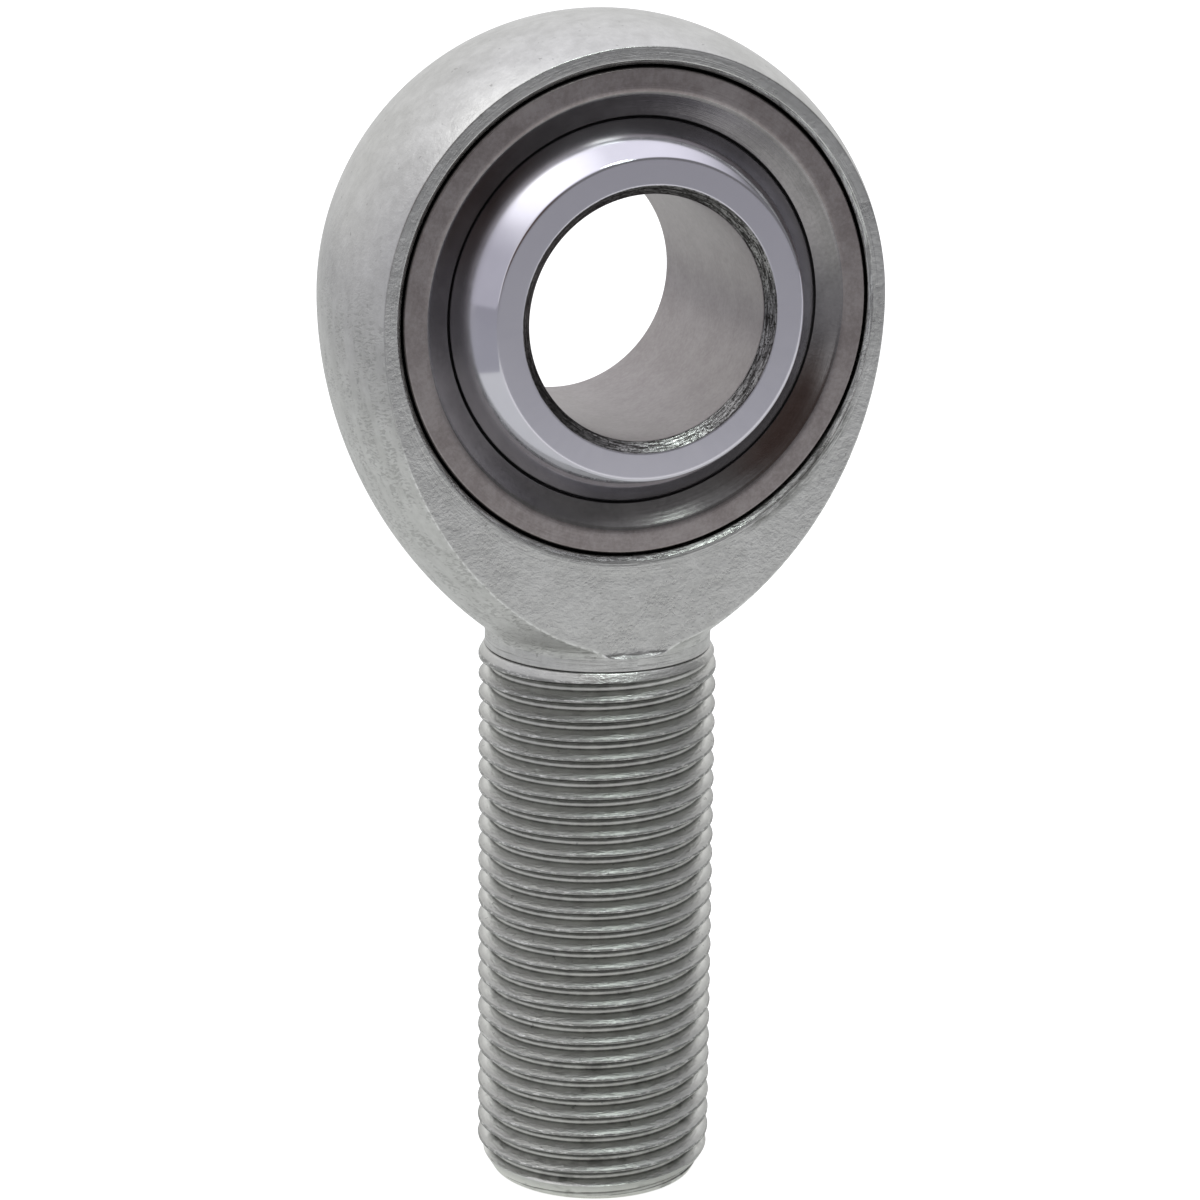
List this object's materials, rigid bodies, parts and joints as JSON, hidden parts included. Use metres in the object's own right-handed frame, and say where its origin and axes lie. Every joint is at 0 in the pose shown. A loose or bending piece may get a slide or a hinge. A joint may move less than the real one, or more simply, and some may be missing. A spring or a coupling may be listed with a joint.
{
  "type": "rod end bearing",
  "caption": "Threaded rod end with a spherical ball that swivels and tilts in a lined race, for joining a rod to a cross bolt.",
  "frame": {"origin": "centre of the ball, which is the pivot point, half way along the bore and on the shank's axis", "axes": "+Z runs from the ball's centre away from the shank, and the ball's bore lies along Y, with the pictured face towards -Y"},
  "size_m": [0.0444, 0.0222, 0.0952],
  "materials": {
    "zinc_plated_steel": "zinc plated forging with milled flats, turned neck and rolled thread, satin grey",
    "race_steel": "turned bare steel, slightly brown grey, satin",
    "liner": "thin woven low-friction liner, matte black",
    "polished_ball": "hard steel ball, polished on its sphere, ground on its end faces, turned in its bore"
  },
  "bodies": {
    "housing": {"rod_end_body": "zinc_plated_steel", "outer_race": "race_steel"},
    "liner": {"ptfe_liner": "liner"},
    "ball": {"ball": "polished_ball"}
  },
  "joints": [
    {"name": "ball_swivel", "type": "hinge", "parent": "housing", "child": "liner", "pos_m": [0, 0, 0], "axis": [0, 1, 0], "continuous": true},
    {"name": "ball_tilt", "type": "hinge", "parent": "liner", "child": "ball", "pos_m": [0, 0, 0], "axis": [1, 0, 0], "range_deg": [-14, 14]}
  ]
}
